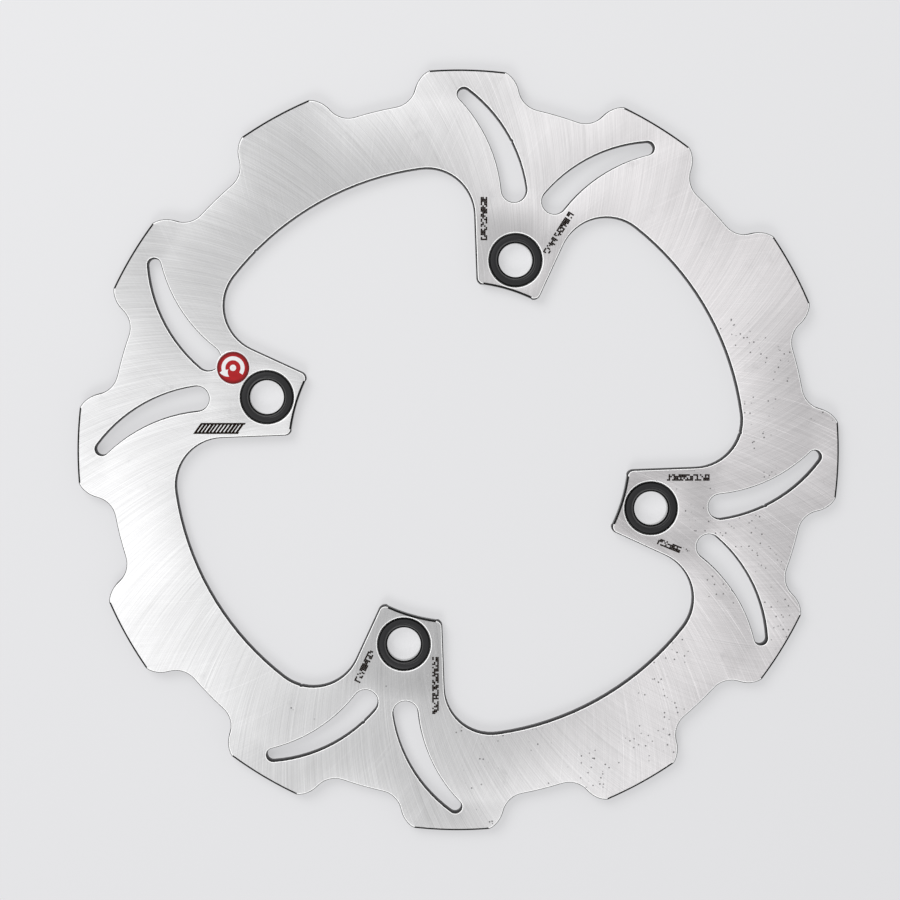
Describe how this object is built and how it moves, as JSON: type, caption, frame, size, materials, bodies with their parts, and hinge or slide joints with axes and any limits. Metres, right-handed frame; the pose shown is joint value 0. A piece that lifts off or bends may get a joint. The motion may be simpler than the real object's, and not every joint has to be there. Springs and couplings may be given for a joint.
{
  "type": "motorcycle brake disc",
  "caption": "Flat stainless brake disc with a wavy rim, curved slots and inward lugs, each lug with a black bush, for bolting to a motorcycle hub.",
  "frame": {"origin": "centre of the disc on the plane of its inner face, which it lies on", "axes": "+Z along the wheel's axis, out of the face that carries the bush flanges and the badge; +X through a bolt hole"},
  "size_m": [0.2368, 0.2368, 0.0044],
  "materials": {
    "ground_stainless": "ground stainless steel with fine crossing grinding lines, small pits and dark laser-cut edges",
    "black_bush": "black-oxide turned steel, satin, with faint turning rings",
    "red_badge": "red domed vinyl with a clear gloss top"
  },
  "bodies": {
    "root": {"brake_disc": "ground_stainless", "lug_bush_1": "black_bush", "lug_bush_2": "black_bush", "lug_bush_3": "black_bush", "lug_bush_4": "black_bush", "round_badge": "red_badge"}
  },
  "joints": []
}
